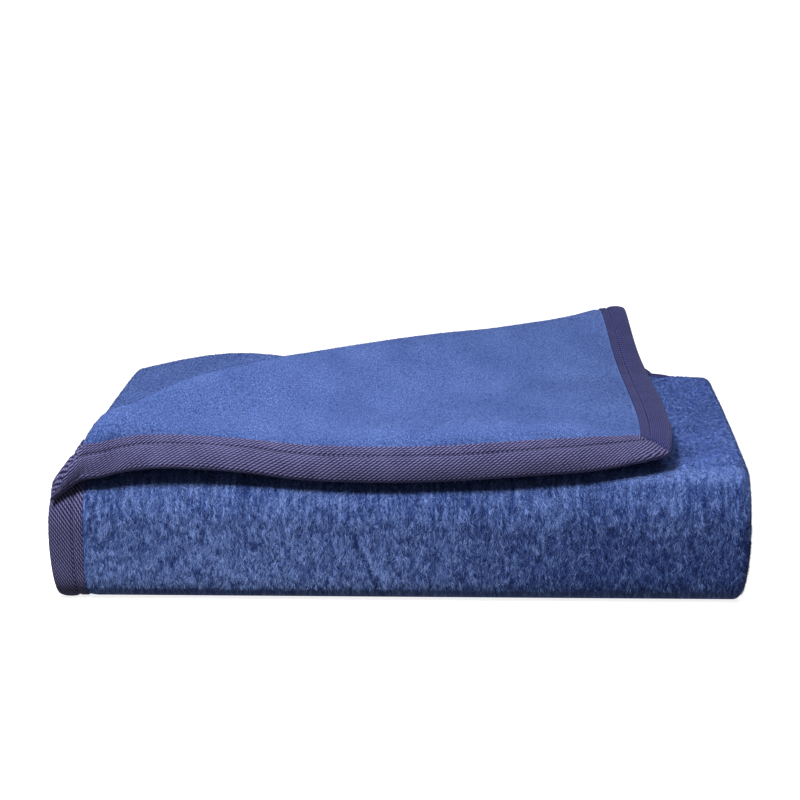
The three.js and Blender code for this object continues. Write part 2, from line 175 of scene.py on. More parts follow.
# A tape's points: how many over its width and round its edge, and how close its rings lie
# where it shows, under the pack, round turns and along hidden straights
WIDTH_STEPS = np.linspace(0, TAPE_WIDTH, 31)
EDGE_STEPS = 7
CREASE_STEPS = 59
SIDE_STEP = 0.85
END_STEP = 1.0
REAR_STEP = 1.2
TUCKED_STEP = 7.0
HEEL_STEP = 3.5
UNDER_STEP = 6.0
UNDER_MARGIN = 25.0
TURN_STEP = 2.8
STRAIGHT_STEP = 14.0

# Between these spacings of its rings a tape's modelled ribs fade out
RIBS_WHOLE = 1.0
RIBS_GONE = 2.2

# The stitches, and how far ahead a stitch looks for its direction
STITCH_PITCH = 3.4
STITCH_LENGTH = 2.5
STITCH_THICKNESS = 0.5
STITCH_SINK = 0.45
STITCH_AHEAD = 0.5

# The nap's streaks: how fine and coarse ones weigh, how much bigger coarse ones are, how far
# and over what size streaks sway, and how much tones vary
FINE_WEIGHT = 0.78
COARSE_WEIGHT = 0.22
COARSE_SIZE = 2.5
STREAK_SWAY = 1.6
SWAY_SIZE = 3
STREAK_CONTRAST = 1.3
FIBRE_CONTRAST = 0.2

# How much fibres differ from each other, and how deep their roots lie
LENGTH_SPREAD = 0.8
STREAK_SPREAD = 0.6
WIDTH_SPREAD = 0.6
LEAN_SPREAD = 0.1
ROLL_SPREAD = 0.45
ROOT_DEPTH = 0.2


class Fibres(NamedTuple):
    """How the nap lies on one side of the cloth.

    The density is for a square millimetre, and the thinning is the share missing behind the
    front. A streak has a size across and along. Painted light and shade go by facing: one
    pair gives how much lighter and more even the fibres are painted where they face up, and
    how much darker where they face the front.
    """

    density: float
    length: float
    width: float
    lean: float
    streak: tuple
    curl: float
    tilt: tuple = (0.0, 0.0)
    thinning: float = 0.0


NAPPED_FIBRES = Fibres(
    density=3.4, length=3.2, width=0.36, lean=0.2,
    streak=(0.65, 3.2), curl=0.42, tilt=(0.45, 0.0), thinning=0.5,
)
TURNED_FIBRES = Fibres(
    density=1.35, length=1.5, width=0.36, lean=0.25,
    streak=(0.8, 1.0), curl=0.9, tilt=(0.0, 0.9),
)
BACK_FIBRES = Fibres(
    density=0.85, length=1.8, width=0.5, lean=0.25, streak=(0.8, 1.2), curl=0.9,
)

# Painted light and shade on the nap: lighter low on the front, and darker there from the left
# to the right
LOW_PAINTED_LIGHT = 0.12
LOW_PAINTED_LIGHT_HEIGHT = 70.0
RIGHT_PAINTED_SHADE = 0.4
RIGHT_PAINTED_SHADE_HEIGHT = 115.0
RIGHT_PAINTED_SHADE_BEGIN = 180.0
RIGHT_PAINTED_SHADE_REACH = 250.0

# How steep the cloth is where it counts as facing up or facing the front, for the nap's
# painted light and shade
UPWARD_FROM = 0.72
FRONTWARD_FROM = 0.2

# The nap in front of this depth is a piece of its own
FRONT_DEPTH = 22.0

# A face shows where a ray of this length meets no cloth. Rays start a little over the face,
# straight out or leaning to a side, and none lies flatter to the face than the slant.
OPEN_REACH = 250.0
OPEN_START = 0.3
OPEN_LEAN = 1.5
OPEN_SLANT = 0.3

# How close to the floor a mesh may come
FLOOR_CLEARANCE = 0.1

# Where the nap begins to be thinner behind the front, and over what distance
THINNING_BEGIN = 6.0
THINNING_REACH = 60.0

# The sheet's stations along the crease, then its steps past that, in a turn, on the lower
# plies, on the crown's rest, along the stretches after it and over the turned-over part
CREASE_STATIONS = 92
PAST_CREASE_STEPS = 8
TURN_STEPS = 8
PLY_STEPS = (24, 9, 9)
CROWN_STEPS = 10
STRETCH_STEPS = {"face": 10, "toe": 18, "low": 24, "heel": 16, "tucked": 18}
FLAP_STEPS = 96

# Worked out from the sizes above
RIGHT_ANGLE = math.pi / 2
HALF_CLOTH = CLOTH / 2
OUTER = PLY_PITCH * (PLIES - 1) / 2
STRIP = PLY_PITCH * PLIES
LOW_MIDDLE = HALF_CLOTH + OUTER
TUCKED_MIDDLE = LOW_MIDDLE + STRIP
TOP_MIDDLE = LOW_MIDDLE + STRIP * (STRIPS - 1)
SIDE_RADIUS = PLY_PITCH / 2
RIGHT_TURN = WIDTH - HALF_CLOTH - SIDE_RADIUS
LEFT_TURN = HALF_CLOTH + SIDE_RADIUS
FIRST_X = SECTIONS[0, 0]
LAST_X = SECTIONS[-1, 0]
LAST_CREST = SECTIONS[-1, 5]
HEEL_RADIUS = STRIP / 2
HEEL_Z = LOW_MIDDLE + HEEL_RADIUS
END_RADIUS = TOP_MIDDLE - HEEL_Z
HEEL_Y = DEPTH - (END_RADIUS + OUTER + HALF_CLOTH) * math.sin(END_DROOP)
CROWN_Y = LOW_MIDDLE + CROWN_RADIUS
CROWN_Z = TOP_MIDDLE - CROWN_RADIUS
TOE_Y = LOW_MIDDLE + TOE_RADIUS
TOE_Z = LOW_MIDDLE + TOE_RADIUS


def ease(t):
    held = np.clip(t, 0, 1)
    return held * held * (3 - 2 * held)


def unit(vectors):
    return vectors / np.maximum(np.linalg.norm(vectors, axis=-1, keepdims=True), 1e-9)


def along_line(at, gone, values):
    """Values at distances along a line, each axis by itself."""
    return np.stack([np.interp(at, gone, values[:, axis]) for axis in range(3)], axis=-1)


# The strip's section: bends and runs, each with its length and its place function

def bend(centre_y, centre_z, radius, begin, end, squareness=2):
    def place(share, offset):
        angle = begin + (end - begin) * share
        across = np.abs(np.cos(angle)) ** squareness
        up = np.abs(np.sin(angle)) ** squareness
        reach = (radius + offset) * (across + up) ** (-1 / squareness)
        return centre_y + reach * np.cos(angle), centre_z + reach * np.sin(angle)
    return (radius + OUTER) * (end - begin), place


def run(begin, end, outward):
    def place(share, offset):
        y = begin[0] + (end[0] - begin[0]) * share + offset * outward[0]
        z = begin[1] + (end[1] - begin[1]) * share + offset * outward[1]
        return y, z
    return math.dist(begin, end), place


STRETCHES = {
    "droop": bend(HEEL_Y, HEEL_Z, END_RADIUS, RIGHT_ANGLE - END_DROOP, RIGHT_ANGLE),
    "top": run((HEEL_Y, TOP_MIDDLE), (CROWN_Y, TOP_MIDDLE), (0, 1)),
    "crown": bend(CROWN_Y, CROWN_Z, CROWN_RADIUS, RIGHT_ANGLE, 2 * RIGHT_ANGLE),
    "face": run((LOW_MIDDLE, CROWN_Z), (LOW_MIDDLE, TOE_Z), (-1, 0)),
    "toe": bend(TOE_Y, TOE_Z, TOE_RADIUS, 2 * RIGHT_ANGLE, 3 * RIGHT_ANGLE, TOE_SQUARENESS),
    "low": run((TOE_Y, LOW_MIDDLE), (HEEL_Y, LOW_MIDDLE), (0, -1)),
    "heel": bend(HEEL_Y, HEEL_Z, HEEL_RADIUS, 3 * RIGHT_ANGLE, 5 * RIGHT_ANGLE),
    "tucked": run((HEEL_Y, TUCKED_MIDDLE), (TUCKED_END, TUCKED_MIDDLE), (0, 1)),
}


# The distance along the strip at which each stretch ends
ENDS = dict(zip(STRETCHES, accumulate(length for length, place in STRETCHES.values())))
STRIP_END = ENDS["tucked"]
CREASE_START = ENDS["top"] + STRETCHES["crown"][0] * (CREASE_ANGLE / RIGHT_ANGLE - 1)


def on_strip(distance, offset):
    """The y and z of places along the strip, at an offset outward from its middle."""
    distance, offset = np.broadcast_arrays(np.clip(distance, 0, STRIP_END), offset)
    y = np.zeros(distance.shape)
    z = np.zeros(distance.shape)
    begin = 0.0
    for length, place in STRETCHES.values():
        here = distance >= begin
        place_y, place_z = place(np.clip((distance - begin) / length, 0, 1), offset)
        y = np.where(here, place_y, y)
        z = np.where(here, place_z, z)
        begin += length
    return y, z


def settle(x, y, z):
    """The pack's soft unevenness and its sides' round outline, as points."""
    x, y, z = np.broadcast_arrays(x, y, z)
    lift = np.zeros(x.shape)
    for spot_x, spot_y, reach_x, reach_y, spot_lift in SETTLING:
        off = ((x - spot_x) / reach_x) ** 2 + ((y - spot_y) / reach_y) ** 2
        lift += spot_lift * np.exp(-off)
    low = np.maximum(0, 1 - z / SIDE_MIDDLE) ** 2
    high = np.clip(z / SIDE_MIDDLE - 1, 0, 1) ** 2
    left = SIDE_INSET * (low + high) * np.exp(-x / SIDE_REACH)
    rear = REAR_INSET * high * (y / DEPTH) * np.exp(-x / REAR_REACH)
    right = SIDE_INSET * low * np.exp((x - WIDTH) / SIDE_REACH)
    height = HALF_CLOTH + (z - HALF_CLOTH) * (1 + lift)
    return np.stack((x + left + rear - right, y, height), axis=-1)


# The ply's places by the distance across the cloth and the distance along the strip

FIRST_PLY = RIGHT_TURN - FIRST_X
FULL_PLY = RIGHT_TURN - LEFT_TURN
TURN_LENGTH = math.pi * SIDE_RADIUS
CLOTH_WIDTH = FIRST_PLY + (PLIES - 1) * (FULL_PLY + TURN_LENGTH)


def ply_begins():
    """The distance across the cloth at which each ply begins."""
    first = FIRST_PLY + TURN_LENGTH
    return [0.0] + [first + (FULL_PLY + TURN_LENGTH) * k for k in range(PLIES - 1)]


def across_strip(across):
    """The x and offset of places across the cloth, back and forth over its plies."""
    x = FIRST_X + across
    offset = np.full(np.shape(across), OUTER)
    for ply, begin in enumerate(ply_begins()[1:], 1):
        rightward = ply % 2 == 0
        middle = OUTER - PLY_PITCH * (ply - 0.5)
        angle = np.clip((across - begin + TURN_LENGTH) / SIDE_RADIUS, 0, math.pi)
        turning = across > begin - TURN_LENGTH
        turn_x = LEFT_TURN if rightward else RIGHT_TURN
        way = 1 if rightward else -1
        gone = np.maximum(0, across - begin)
        here_x = turn_x + way * (gone - SIDE_RADIUS * np.sin(angle) * (gone == 0))
        x = np.where(turning, here_x, x)
        offset = np.where(turning, middle + SIDE_RADIUS * np.cos(angle), offset)
    return x, offset


def crease_at(x):
    """How far behind its start the crease crosses x, along the ply."""
    across = x - FIRST_X
    return across - CREASE_HOLD * (1 - np.exp(-across / CREASE_HOLD_REACH))


CREASE_LENGTH = crease_at(LAST_X)
CREASE_END = CREASE_START - CREASE_LENGTH


def end_pull(across, distance):
    """How far the rear end swings back from the crease's end to the strip's own end."""
    x = FIRST_X + across
    swing = ease((x - LAST_X) / (RIGHT_TURN - LAST_X))
    near, far = CREASE_START - crease_at(np.array(SWING_X))
    pull = np.clip((far - distance) / (far - near), 0, 1)
    return CREASE_END * swing * pull


def on_ply(across, distance):
    """Points of the cloth's middle, by the distances across it and along the strip."""
    x, offset = across_strip(across)
    y, z = on_strip(distance - end_pull(across, distance), offset)
    return settle(x, y, z)


# The turned-over part

def section_value(x, column):
    """A section's measure at any x, on a smooth curve through the table."""
    knots = SECTIONS[:, 0]
    values = SECTIONS[:, SECTION_COLUMNS.index(column)]
    slopes = np.gradient(values, knots)
    index = np.clip(np.searchsorted(knots, x) - 1, 0, len(knots) - 2)
    width = knots[index + 1] - knots[index]
    t = (x - knots[index]) / width
    rise = values[index + 1] - values[index]
    bow = (1 - t) * (slopes[index] * width - rise) - t * (slopes[index + 1] * width - rise)
    return values[index] + rise * t + t * (1 - t) * bow


def over_ply(x, behind, height):
    """Places over the ply below, behind the crease's start and at a height."""
    y, z = on_strip(CREASE_START - behind, OUTER)
    back = np.minimum(0, y - CROWN_Y)
    rise = z - CROWN_Z
    reach = np.hypot(back, rise)
    along = (x / LAST_X) ** 2 * behind / CREASE_LENGTH
    risen = np.maximum(0, height - DRAW_FLOOR)
    drawn = DRAW_IN * (1 - np.exp(-risen / DRAW_REACH)) * along
    corner = CORNER_DRAW * (x / LAST_X) ** CORNER_SHARPNESS
    tucked = corner * np.exp(-np.maximum(0, behind) / CORNER_REACH)
    over = (x - drawn - tucked, y + height * back / reach, z + height * rise / reach)
    return np.stack(over, axis=-1)


def flap_sections(x, loop_steps=60, ramp_steps=240):
    """Sections of the turned-over part from its crease, round the loop, to its front edge."""
    x = x[:, None]
    edge, lip, brow, waist, crest = (section_value(x, name) for name in SECTION_COLUMNS[1:])
    root = crease_at(x)
    start = root + LOOP_LEAN * crest / LAST_CREST
    ramp = np.minimum(RAMP, RAMP_SHARE * (start - edge))
    angle = math.pi * (np.linspace(0, 1, loop_steps + 1) - 0.5)[None, :]
    share = (1 + np.sin(angle)) / 2
    behind = root + (start - root) * share + LOOP_DEPTH * crest / 2 * np.cos(angle)
    loop = over_ply(x, behind, crest * share)
    behind = start + (edge - start) * np.linspace(0, 1, ramp_steps + 1)[None, 1:]
    high = ease(1 - (start - behind) / ramp)
    raised = ease(1 - (behind - edge - EDGE_DROP) / BROW_REACH) * (1 - high)
    hanging = np.maximum(0, 1 - (behind - edge) / EDGE_DROP) ** 2
    height = waist + (crest - waist) * high + (brow - waist) * raised - (brow - lip) * hanging
    return np.concatenate((loop, over_ply(x, behind, height)), axis=1)


def flap_table(columns=180, shares=200):
    """The turned-over part as even steps of x and of each section's length."""
    x = np.linspace(FIRST_X, LAST_X, columns)
    sections = flap_sections(x)
    steps = np.linalg.norm(np.diff(sections, axis=1), axis=-1)
    lengths = np.concatenate((np.zeros((columns, 1)), np.cumsum(steps, axis=1)), axis=1)
    even = np.linspace(0, 1, shares)
    table = [along_line(even * gone[-1], gone, line) for gone, line in zip(lengths, sections)]
    return x, lengths[:, -1], np.stack(table)


FLAP_X, FLAP_LENGTHS, FLAP_TABLE = flap_table()
FLAP_PADDED = np.pad(FLAP_TABLE, ((1, 1), (1, 1), (0, 0)), mode="reflect", reflect_type="odd")


def smooth_weights(t):
    return (
        -0.5 * t + t ** 2 - 0.5 * t ** 3,
        1 - 2.5 * t ** 2 + 1.5 * t ** 3,
        0.5 * t + 2 * t ** 2 - 1.5 * t ** 3,
        -0.5 * t ** 2 + 0.5 * t ** 3,
    )


def flap_length(x):
    return np.interp(x, FLAP_X, FLAP_LENGTHS)


def on_flap(x, from_edge):
    """Points of the turned-over part, by x and the distance from its front edge."""
    x, from_edge = np.broadcast_arrays(x, from_edge)
    columns, shares = FLAP_TABLE.shape[:2]
    i = (x - FIRST_X) / (LAST_X - FIRST_X) * (columns - 1)
    j = (1 - from_edge / flap_length(x)) * (shares - 1)
    i_low = np.clip(np.floor(i).astype(int), 0, columns - 2)
    j_low = np.clip(np.floor(j).astype(int), 0, shares - 2)
    total = np.zeros(x.shape + (3,))
    for a, weight_a in enumerate(smooth_weights(i - i_low)):
        for b, weight_b in enumerate(smooth_weights(j - j_low)):
            total += (weight_a * weight_b)[..., None] * FLAP_PADDED[i_low + a, j_low + b]
    return settle(total[..., 0], total[..., 1], total[..., 2])


# Objects and meshes

def add_object(name, data):
    thing = bpy.data.objects.new(name, data)
    bpy.context.scene.collection.objects.link(thing)
    return thing


def make_mesh(name, points, faces, uv=None, material_index=None, smooth=True):
    """A mesh from points in millimetres and a list of face arrays, triangles or quads."""
    points = np.column_stack((points[:, :2], np.maximum(points[:, 2], FLOOR_CLEARANCE)))
    mesh = bpy.data.meshes.new(name)
    corners = np.concatenate([block.ravel() for block in faces]).astype(np.int32)
    totals = np.concatenate([np.full(len(block), block.shape[1]) for block in faces])
    starts = np.concatenate(([0], np.cumsum(totals)[:-1]))
    mesh.vertices.add(len(points))
    mesh.vertices.foreach_set("co", ((points - ORIGIN) / METRE).ravel())
    mesh.loops.add(len(corners))
    mesh.loops.foreach_set("vertex_index", corners)
    mesh.polygons.add(len(totals))
    mesh.polygons.foreach_set("loop_start", starts.astype(np.int32))
    mesh.polygons.foreach_set("loop_total", totals.astype(np.int32))
    mesh.polygons.foreach_set("use_smooth", np.full(len(totals), smooth))
    if material_index is not None:
        mesh.polygons.foreach_set("material_index", material_index.astype(np.int32))
    if uv is not None:
        layer = mesh.uv_layers.new(name="UVMap")
        layer.data.foreach_set("uv", (uv / METRE).astype(np.float32).ravel())
    mesh.update()
    return add_object(name, mesh)


def point_normals(points, faces):
    normals = np.zeros_like(points)
    for block in faces:
        a, b, c = points[block[:, 0]], points[block[:, 1]], points[block[:, -1]]
        area = np.cross(b - a, c - a)
        for corner in range(block.shape[1]):
            np.add.at(normals, block[:, corner], area)
    return unit(normals)


def rim_edges(faces):
    """The directed edges that only one face has."""
    edges = np.concatenate([
        np.stack((block[:, k], block[:, (k + 1) % block.shape[1]]), axis=1)
        for block in faces for k in range(block.shape[1])
    ])
    seen = set(map(tuple, edges.tolist()))
    return np.array([edge for edge in edges.tolist() if (edge[1], edge[0]) not in seen])


# The cloth's sheet

def sheet_across():
    """Stations across the cloth: fine on the outer ply, its turns and the ply below it."""
    crease = np.linspace(FIRST_X, LAST_X, CREASE_STATIONS) - FIRST_X
    stations = [crease, np.linspace(crease[-1], FIRST_PLY, PAST_CREASE_STEPS + 1)[1:]]
    for begin, steps in zip(ply_begins()[1:], PLY_STEPS):
        stations.append(np.linspace(begin - TURN_LENGTH, begin, TURN_STEPS + 1)[1:])
        stations.append(np.linspace(begin, begin + FULL_PLY, steps + 1)[1:])
    return np.concatenate(stations)


def sheet_along(across):
    """Stations along the strip: at the crease's crossings, then fine on the front."""
    crease = CREASE_START - crease_at(across[:CREASE_STATIONS] + FIRST_X)
    stations = [crease[::-1], np.linspace(CREASE_START, ENDS["crown"], CROWN_STEPS + 1)[1:]]
    begin = ENDS["crown"]
    for name, steps in STRETCH_STEPS.items():
        stations.append(np.linspace(begin, ENDS[name], steps + 1)[1:])
        begin = ENDS[name]
    return np.concatenate(stations)


def cloth_half(from_tape):
    """Half the cloth's thickness, less where a tape presses it."""
    pressed = PRESSED_CLOTH / 2
    return pressed + (HALF_CLOTH - pressed) * ease((from_tape + PRESSED_MARGIN) / PRESSED_REACH)


def corners_of(grids):
    """Faces from a grid's four shifted views, one for each corner."""
    return np.stack([grid.ravel() for grid in grids], axis=1)


def ply_sheet(across, along):
    """The sheet's plies: a grid without the corner that is turned over at the crease."""
    column, row = np.meshgrid(np.arange(len(across)), np.arange(len(along)), indexing="ij")
    kept = row >= CREASE_STATIONS - 1 - column
    ids = np.full(kept.shape, -1)
    ids[kept] = np.arange(kept.sum())
    at_across, at_along = across[column[kept]], along[row[kept]]
    past_crease = at_across >= across[CREASE_STATIONS - 1]
    from_end = np.where(past_crease, at_along - along[0], WIDTH)
    quads = corners_of((ids[:-1, :-1], ids[:-1, 1:], ids[1:, 1:], ids[1:, :-1]))
    whole = (quads >= 0).all(axis=1)
    halved = (quads[:, 0] < 0) & (quads[:, 1:] >= 0).all(axis=1)
    return {
        "points": on_ply(at_across, at_along),
        "from_tape": np.minimum.reduce((
            at_across, from_end, CLOTH_WIDTH - at_across, STRIP_END - at_along,
        )),
        "uv": np.stack((at_across, -at_along), axis=-1),
        "quads": quads[whole],
        "triangles": quads[halved][:, 1:],
        "crease": ids[np.arange(CREASE_STATIONS), np.arange(CREASE_STATIONS)[::-1]],
    }


def flap_sheet(x, crease_ids, first_id):
    """The sheet's turned-over part, from the crease's points to its front edge."""
    share = np.linspace(0, 1, FLAP_STEPS + 1)
    from_edge = flap_length(x)[:, None] * (1 - share[None, 1:])
    x = np.broadcast_to(x[:, None], from_edge.shape)
    ids = np.empty((len(crease_ids), FLAP_STEPS + 1), int)
    ids[:, 0] = crease_ids
    ids[:, 1:] = first_id + np.arange(x.size).reshape(x.shape)
    return {
        "points": on_flap(x, from_edge).reshape(-1, 3),
        "from_tape": np.minimum.reduce((x - FIRST_X, from_edge, LAST_X - x)).ravel(),
        "uv": np.stack((x, from_edge), axis=-1).reshape(-1, 2),
        "quads": corners_of((ids[:-1, :-1], ids[1:, :-1], ids[1:, 1:], ids[:-1, 1:])),
    }


def build_cloth(name):
    """The cloth as one thickened sheet, and what the nap needs to know of its surface."""
    across = sheet_across()
    ply = ply_sheet(across, sheet_along(across))
    flap_x = across[:CREASE_STATIONS] + FIRST_X
    flap = flap_sheet(flap_x, ply["crease"], len(ply["points"]))
    points, from_tape, uv = (
        np.concatenate((ply[key], flap[key])) for key in ("points", "from_tape", "uv")
    )
    sheet = [ply["quads"], ply["triangles"], flap["quads"]]
    normals = point_normals(points, sheet)
    half = cloth_half(from_tape - TAPE_WIDTH)[:, None]

    count = len(points)
    rim = rim_edges(sheet)
    rim_quads = np.stack((rim[:, 1], rim[:, 0], rim[:, 0] + count, rim[:, 1] + count), axis=1)
    shell = sheet + [block[:, ::-1] + count for block in sheet] + [rim_quads]
    shell_points = np.concatenate((points + normals * half, points - normals * half))

    # On the crease the turned-over part's faces have UVs of their own
    corners = np.concatenate([block.ravel() for block in shell]) % count
    corner_uv = uv[corners]
    flap_uv = uv.copy()
    flap_uv[ply["crease"]] = np.stack((flap_x, flap_length(flap_x)), axis=-1)
    side_corners = sum(block.size for block in sheet)
    for end in (side_corners, 2 * side_corners):
        flap_part = slice(end - flap["quads"].size, end)
        corner_uv[flap_part] = flap_uv[corners[flap_part]]

    sheet_count = sum(len(block) for block in sheet)
    material_index = np.zeros(sum(len(block) for block in shell))
    material_index[sheet_count:2 * sheet_count] = 1
    piece = make_mesh(name, shell_points, shell, corner_uv, material_index)
    faces = np.concatenate((ply["quads"], flap["quads"][:, [0, 3, 2, 1]]))
    surface = {
        "points": points, "normals": normals, "half": half, "faces": faces,
        "bare": from_tape[faces].min(axis=1) > TAPE_WIDTH - PRESSED_MARGIN,
        "turned": np.arange(len(faces)) >= len(ply["quads"]),
    }
    return piece, surface


# The tapes. Each is a grid of the cloth's middle, by steps along the cloth's edge and the
# distance from that edge, that is given its faces, its rolled edge and its ribs.

def steps_between(begin, end, step):
    count = max(2, int(round(abs(end - begin) / step)))
    return np.linspace(begin, end, count + 1)


def turn_steps(begin, end, turns):
    """Stations from one place to another, fine in the turns and wide between them."""
    stations = [np.array((begin,))]
    here = begin
    for turn_begin, turn_end in turns:
        if turn_begin > here:
            stations.append(steps_between(here, turn_begin, STRAIGHT_STEP)[1:])
            here = turn_begin
        stations.append(steps_between(here, turn_end, TURN_STEP)[1:])
        here = turn_end
    if end > here:
        stations.append(steps_between(here, end, STRAIGHT_STEP)[1:])
    return np.concatenate(stations)


PLY_TURNS = [(begin - TURN_LENGTH, begin) for begin in ply_begins()[1:]]
STRIP_TURNS = [
    (ENDS[begin], ENDS[end]) for begin, end in (("top", "crown"), ("face", "toe"), ("low", "heel"))
]


def side_outer_middle():
    """The side tape: up the left edge, round the crease and along the turned front."""
    w = WIDTH_STEPS[None, :]
    x = FIRST_X + w
    under = ENDS["toe"] + UNDER_MARGIN
    stretches = (
        (STRIP_END, ENDS["heel"], TUCKED_STEP),
        (ENDS["heel"], ENDS["low"], HEEL_STEP),
        (ENDS["low"], under, UNDER_STEP),
        (under, CREASE_START, SIDE_STEP),
    )
    parts = []
    for begin, end, step in stretches:
        along = steps_between(begin, end, step)[:, None]
        if parts:
            along = along[1:]
        lead = ease(1 - (along - CREASE_START) / TURN_RUN)
        parts.append(on_ply(w + 0 * along, along - lead * crease_at(x)))
    turn = np.linspace(1, 0, CREASE_STEPS + 1)[1:, None]
    parts.append(on_flap(x + 0 * turn, turn * flap_length(x) + (1 - turn) * w))
    length = LAST_X - FIRST_X
    front = steps_between(0, length, SIDE_STEP)[1:, None]
    spread = w * np.exp(-front / TURN_RUN) * (1 - front / length)
    mitre = w * ease((front - length + MITRE_RUN) / MITRE_RUN)
    parts.append(on_flap(x - w + front + spread - mitre, w + 0 * front))
    return np.concatenate(parts)


def end_top_middle():
    """The end tape: up the turned part's right edge, over the crease and along the rear."""
    w = WIDTH_STEPS[None, :]
    x = LAST_X - w
    length = flap_length(LAST_X)
    rise = steps_between(0, length, END_STEP)[:, None]
    mitre = w * (1 - ease(rise / MITRE_RUN))
    parts = [on_flap(x, mitre + rise / length * flap_length(x))]
    past_crease = LAST_X - FIRST_X
    across = steps_between(0, FIRST_PLY - past_crease, REAR_STEP)[1:, None]
    spread = w * ease(1 - across / MITRE_RUN)
    parts.append(on_ply(past_crease + across - spread, CREASE_END + w + 0 * across))
    hidden = turn_steps(FIRST_PLY, CLOTH_WIDTH, PLY_TURNS)[1:, None]
    parts.append(on_ply(hidden, CREASE_END + w + 0 * hidden))
    return np.concatenate(parts)


def side_inner_middle():
    along = turn_steps(CREASE_END, STRIP_END, STRIP_TURNS)[:, None]
    return on_ply(CLOTH_WIDTH - WIDTH_STEPS[None, :] + 0 * along, along)


def end_inner_middle():
    across = turn_steps(0, CLOTH_WIDTH, PLY_TURNS)[::-1, None]
    return on_ply(across, STRIP_END - WIDTH_STEPS[None, :] + 0 * across)


def tape_height(w):
    """The height of the tape's face over the cloth's middle, with its swell and its seam."""
    swell = TAPE_SWELL * np.sin(math.pi * np.clip(w / SEAM, 0, 1)) ** SWELL_FULLNESS
    dip = SEAM_DEPTH * np.exp(-((w - SEAM) / SEAM_REACH) ** 2)
    return TAPE_FACE + swell - dip


def tape_normals(middle):
    return unit(np.cross(np.gradient(middle, axis=1), np.gradient(middle, axis=0)))


def build_tape(name, middle):
    """A tape folded over the cloth's edge, with its ribs, as one mesh."""
    w = WIDTH_STEPS[None, :]
    count = len(WIDTH_STEPS)
    normals = tape_normals(middle)
    steps = np.linalg.norm(np.diff(middle[:, count // 2], axis=0), axis=-1)
    length = np.concatenate(([0], np.cumsum(steps)))[:, None]
    spacing = np.concatenate((steps[:1], steps))[:, None]

    # The girth runs from the border over the face, round the edge and back below
    turn = np.linspace(RIGHT_ANGLE, -RIGHT_ANGLE, EDGE_STEPS + 2)[1:-1]
    round_edge = -TAPE_FACE * (RIGHT_ANGLE - turn)
    girth = np.concatenate((w[0, ::-1], round_edge, -w[0] - EDGE_GIRTH))
    wave = np.abs(np.sin(math.pi * (length + RIB_SLOPE * girth[None, :]) / RIB_PITCH))
    rib_share = ease((RIBS_GONE - spacing) / (RIBS_GONE - RIBS_WHOLE))
    relief = RIB_HEIGHT * rib_share * (wave - RIB_LEVEL)

    from_end = np.minimum(length, length[-1] - length)
    height = tape_height(w) * (1 - END_DIP * np.exp(-(from_end / END_DIP_REACH) ** 2))
    face = (height + relief[:, :count][:, ::-1])[..., None]
    back = (height + relief[:, -count:])[..., None]
    radius = (height[:, :1] + relief[:, count:-count])[..., None]
    above = (middle + normals * face)[:, ::-1]
    below = middle - normals * back
    edgeward = unit(middle[:, 0] - middle[:, 1])[:, None]
    turn = turn[None, :, None]
    outward = edgeward * np.cos(turn) + normals[:, :1] * np.sin(turn)
    rolled = middle[:, :1] + radius * outward
    border, lift = middle[:, -1:], normals[:, -1:] * TAPE_BORDER
    rings = np.concatenate((above, rolled, below, border - lift, border + lift), axis=1)
    ring_girth = np.concatenate((girth, [-TAPE_WIDTH - EDGE_GIRTH, TAPE_WIDTH]))
    return ring_mesh(name, rings, length[:, 0], ring_girth)


def ring_mesh(name, rings, length, girth):
    """A tube of rings, capped at both ends up to its inner border, with its lengths as UVs."""
    ids = np.arange(rings.shape[0] * rings.shape[1]).reshape(rings.shape[:2])
    nexts = np.roll(ids, -1, axis=1)
    faces = [corners_of((ids[:-1], nexts[:-1], nexts[1:], ids[1:]))]
    last = rings.shape[1] - 3
    near = np.arange(last // 2)
    for ring, way in ((ids[0], 1), (ids[-1], -1)):
        faces.append(corners_of((
            ring[near], ring[near + 1], ring[last - near - 1], ring[last - near],
        ))[:, ::way])
    uv_grid = np.broadcast_arrays(length[:, None], girth[None, :])
    uv = np.stack(uv_grid, axis=-1).reshape(-1, 2)
    corner_uv = uv[np.concatenate([block.ravel() for block in faces])]
    return make_mesh(name, rings.reshape(-1, 3), faces, corner_uv)


# The nap: thin fibres that lie along the cloth, on every face that can be seen

def soft_noise(u, v, cell_u, cell_v, random):
    """Smooth noise from 0 to 1 over two coordinates, with its own size along each."""
    i, j = u / cell_u, v / cell_v
    i, j = i - i.min(), j - j.min()
    grid = random.random((int(i.max()) + 2, int(j.max()) + 2))
    i_low, j_low = i.astype(int), j.astype(int)
    a, b = ease(i - i_low), ease(j - j_low)
    low = grid[i_low, j_low] * (1 - a) + grid[i_low + 1, j_low] * a
    high = grid[i_low, j_low + 1] * (1 - a) + grid[i_low + 1, j_low + 1] * a
    return low * (1 - b) + high * b


def open_faces(tree, surface, side):
    """Which faces have a free way out, straight up from them or leaning to any side."""
    corners = surface["faces"]
    centres = surface["points"][corners].mean(axis=1)
    normals = side * unit(surface["normals"][corners].mean(axis=1))
    scale = 1 / METRE
    starts = (centres + normals * (HALF_CLOTH + OPEN_START) - ORIGIN) * scale
    reach = OPEN_REACH * scale
    sides = ((0, 0, 0), (1, 0, 0), (-1, 0, 0), (0, -1, 0), (0, 1, 0), (0, 0, 1))
    leans = [OPEN_LEAN * Vector(sideways) for sideways in sides]
    free = np.zeros(len(corners), bool)
    for index, (start, normal) in enumerate(zip(starts, normals)):
        start, normal = Vector(start), Vector(normal)
        for lean in leans:
            way = (normal + lean).normalized()
            if way.dot(normal) < OPEN_SLANT or start.z + way.z * reach < 0:
                continue
            if tree.ray_cast(start, way, reach)[0] is None:
                free[index] = True
                break
    return free


